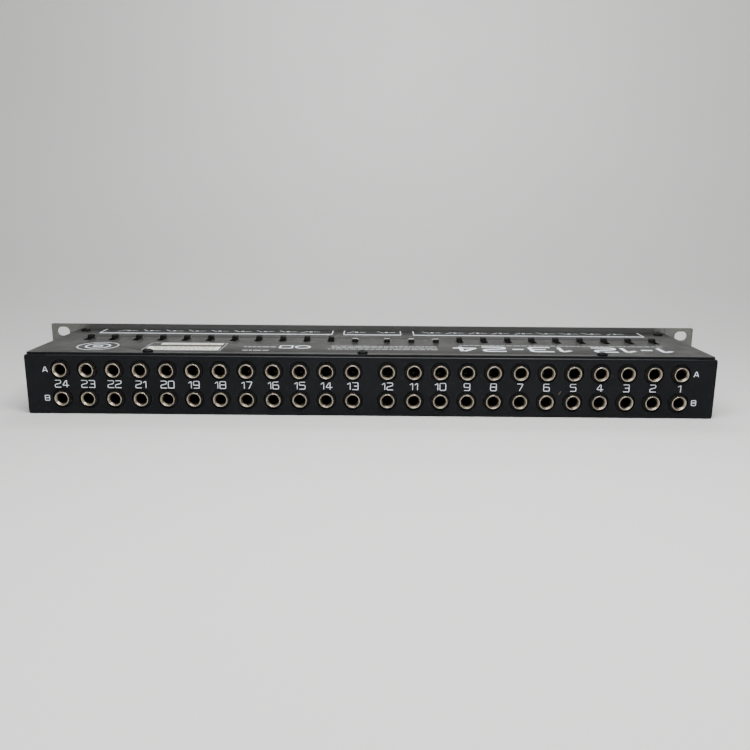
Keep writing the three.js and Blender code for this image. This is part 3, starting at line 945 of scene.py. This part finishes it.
def product_label():
    """A paper label with two pale fields and rows of small grey marks."""
    thickness = 0.08 * MM
    fields = [(98.8, 146.4, 24.2, 35.6), (99.4, 140.8, 12.2, 18.0)]
    parts = []
    for x0, x1, y0, y1 in fields:
        outline = rounded_box(x0 * MM, x1 * MM, y0 * MM, y1 * MM, 0.8 * MM)
        parts.append(prism("field", outline, COVER[1].z, COVER[1].z + thickness, "z"))
    finished(gathered("product_label", parts), LABEL)
    marks = Print(lambda u, v, w: (u, v, COVER[1].z + thickness + w))
    draw = random.Random(7)
    mark_height = 0.9 * MM
    for x0, x1, y in ((102, 143, 25.5), (102, 143, 29), (102, 143, 32.5), (103, 137, 15.8)):
        marks.dashes(x0 * MM, x1 * MM, y * MM, mark_height, draw)
    marks.done("label_marks", DARK_INK)
    edge = Print(on_cover)
    edge.line(rounded_box(97.2 * MM, 148 * MM, 11 * MM, 37.2 * MM, 1 * MM), width=0.25 * MM, closed=True)
    edge.done("label_frame", WHITE_INK)


# ------------------------------------------------------------------ inside


def dress_inner_nodes():
    """The CAD's own boards, headers, posts and switch frames keep their shapes and get real materials."""
    looks = {
        "main_board": BOARD,
        "switch_board": BOARD,
        "switch_header": JACK_PLASTIC,
        "switch_frames": PLAIN_STEEL,
        "board_post": BRASS,
    }
    for name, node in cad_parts.items():
        for start, material in looks.items():
            if name.startswith(start):
                node.data.materials.clear()
                node.data.materials.append(material)


# ------------------------------------------------------------------ stage, camera and light

# The camera stands behind the bay and above it. Its angles are in radians and its lens in millimetres.
CAMERA = {
    "place": Vector((-5.0, NOSE_REAR / MM + 460.2, 133.7)) * MM,
    "down": 0.2263,
    "turn": 0.0041,
    "roll": 0.0072,
    "lens": 35.85,
}


def set_camera():
    down, turn, roll = CAMERA["down"], CAMERA["turn"], CAMERA["roll"]
    right = Vector((-math.cos(turn), -math.sin(turn), 0))
    ahead = Vector((math.sin(turn) * math.cos(down), -math.cos(turn) * math.cos(down), -math.sin(down)))
    up = right.cross(ahead)
    tilted_right = right * math.cos(roll) + up * math.sin(roll)
    tilted_up = up * math.cos(roll) - right * math.sin(roll)
    data = bpy.data.cameras.new("camera")
    data.lens = CAMERA["lens"]
    data.sensor_width = 36
    data.clip_start = 0.01
    camera = scene_object("camera", data)
    turned = Matrix((tilted_right, tilted_up, -ahead)).transposed().to_4x4()
    camera.matrix_world = Matrix.Translation(CAMERA["place"]) @ turned
    bpy.context.scene.camera = camera


def stage_material():
    paper = Nodes("stage_paper", 0.85)
    paper.colour(paper.ramp(paper.noise(1.6, 3), (0.2, (0.78, 0.78, 0.77)), (0.8, (0.82, 0.82, 0.81))))
    return paper.material


def set_stage():
    """A round pale floor that sweeps up into a wall all round. Radii and height are in metres."""
    floor, sweep, height = 1.0, 1.5, 3.2
    profile = [(0.0, 0.0), (floor, 0.0)]
    profile += arc((floor, sweep), sweep, -90, 0, 40)[1:] + [(floor + sweep, height)]
    bm = bmesh.new()
    steps = 96
    rings = []
    for r, z in profile:
        angles = [2 * math.pi * i / steps for i in range(steps)]
        rings.append([bm.verts.new((r * math.cos(a), r * math.sin(a), z)) for a in angles])
    for a, b in zip(rings, rings[1:]):
        for i in range(steps):
            k = (i + 1) % steps
            bm.faces.new((a[i], a[k], b[k], b[i]))
    bmesh.ops.remove_doubles(bm, verts=bm.verts, dist=1e-6)
    paper = object_from("stage_paper", bm)
    paper.data.shade_smooth()
    paper.data.materials.append(stage_material())


def add_light(name, place, target, size, watts):
    data = bpy.data.lights.new(name, "AREA")
    data.shape = "RECTANGLE"
    data.size, data.size_y = size
    data.energy = watts
    light = scene_object(name, data)
    place = Vector(place)
    aim = (Vector(target) - place).to_track_quat("-Z", "Y").to_matrix().to_4x4()
    light.matrix_world = Matrix.Translation(place) @ aim


def set_light():
    world = bpy.data.worlds.new("soft_room")
    world.use_nodes = True
    background = world.node_tree.nodes["Background"]
    background.inputs["Color"].default_value = (0.9, 0.92, 0.95, 1)
    background.inputs["Strength"].default_value = 0.22
    bpy.context.scene.world = world
    add_light("left_lamp", (0.1, 0.28, 0.52), (0.02, 0.24, 0), (0.25, 0.25), 2.2)
    add_light("right_lamp", (-0.17, 0.28, 0.52), (-0.06, 0.22, 0), (0.25, 0.25), 2.8)
    add_light("floor_lamp", (-0.03, -0.6, 0.85), (-0.03, -0.6, 0), (0.5, 0.3), 3.4)
    add_light("wall_lamp", (-0.08, -1.2, 1.5), (-0.08, -2.2, 0.6), (0.4, 0.25), 17)
    for name, x, y in (("left_wall_lamp", 1, 0.3), ("right_wall_lamp", -1, 0.3), ("near_wall_lamp", 0, 1)):
        add_light(name, (1.2 * x, 1.2 * y, 1.5), (2.2 * x, 2.2 * y, 0.6), (0.6, 0.25), 7)


# ------------------------------------------------------------------ assembly

set_camera()
set_stage()
set_light()

chassis_tray()
top_cover()
front_panel()
for screw_name in COVER_SCREWS:
    set_screw(screw_name, COVER_HEAD, SCREW_BLACK)
for screw_name in PANEL_SCREWS:
    set_screw(screw_name, PANEL_HEAD, SCREW_BLACK)
for screw_name in BOARD_SCREWS:
    set_screw(screw_name, BOARD_HEAD, PLAIN_STEEL)
for jack_side in ("rear", "front"):
    for jack_row in ROW_Z:
        for jack_half in HALVES:
            jack_bank(jack_side, jack_row, jack_half)
for channel in CHANNELS:
    switch_lever(channel)
dress_inner_nodes()
jack_numbers("rear_numbers", on_rear, -1, WHITE_INK)
jack_numbers("front_numbers", on_front, 1, DARK_INK)
cover_print()
paint_scuff()
product_label()
